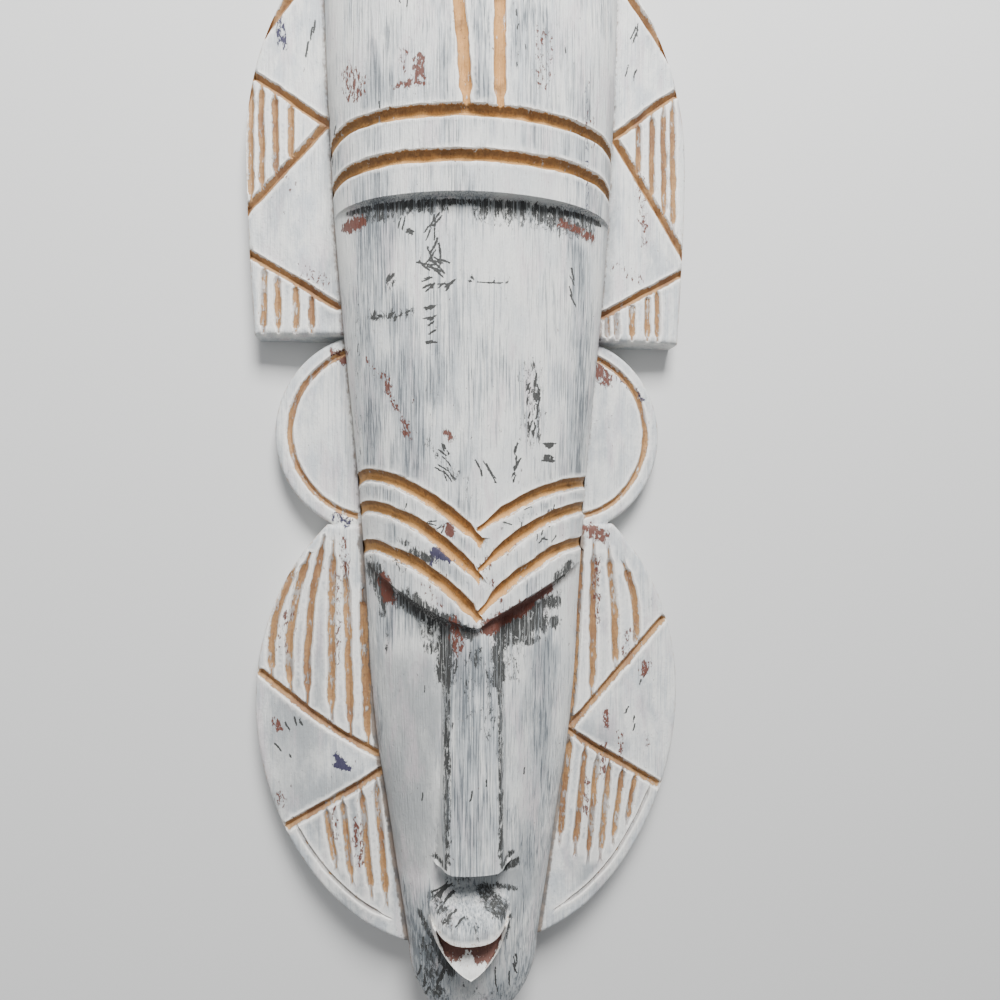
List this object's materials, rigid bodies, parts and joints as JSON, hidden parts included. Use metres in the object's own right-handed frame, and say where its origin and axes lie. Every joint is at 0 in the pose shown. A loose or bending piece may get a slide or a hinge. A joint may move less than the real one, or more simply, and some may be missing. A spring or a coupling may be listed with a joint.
{
  "type": "wall mask",
  "caption": "Long carved wood wall mask: half-round face with banded forehead, chevron brow, ridge nose and open mouth on flat crest, ear and cheek plates; hollow back.",
  "frame": {"origin": "middle of the flat back, under the middle of the bounding box", "axes": "+Y from chin to crown, +Z out of the face, +X to the right of someone who looks at the face"},
  "size_m": [0.202, 0.51, 0.06],
  "materials": {
    "painted_wood": "matte"
  },
  "bodies": {
    "root": {"mask": "painted_wood"}
  },
  "joints": []
}
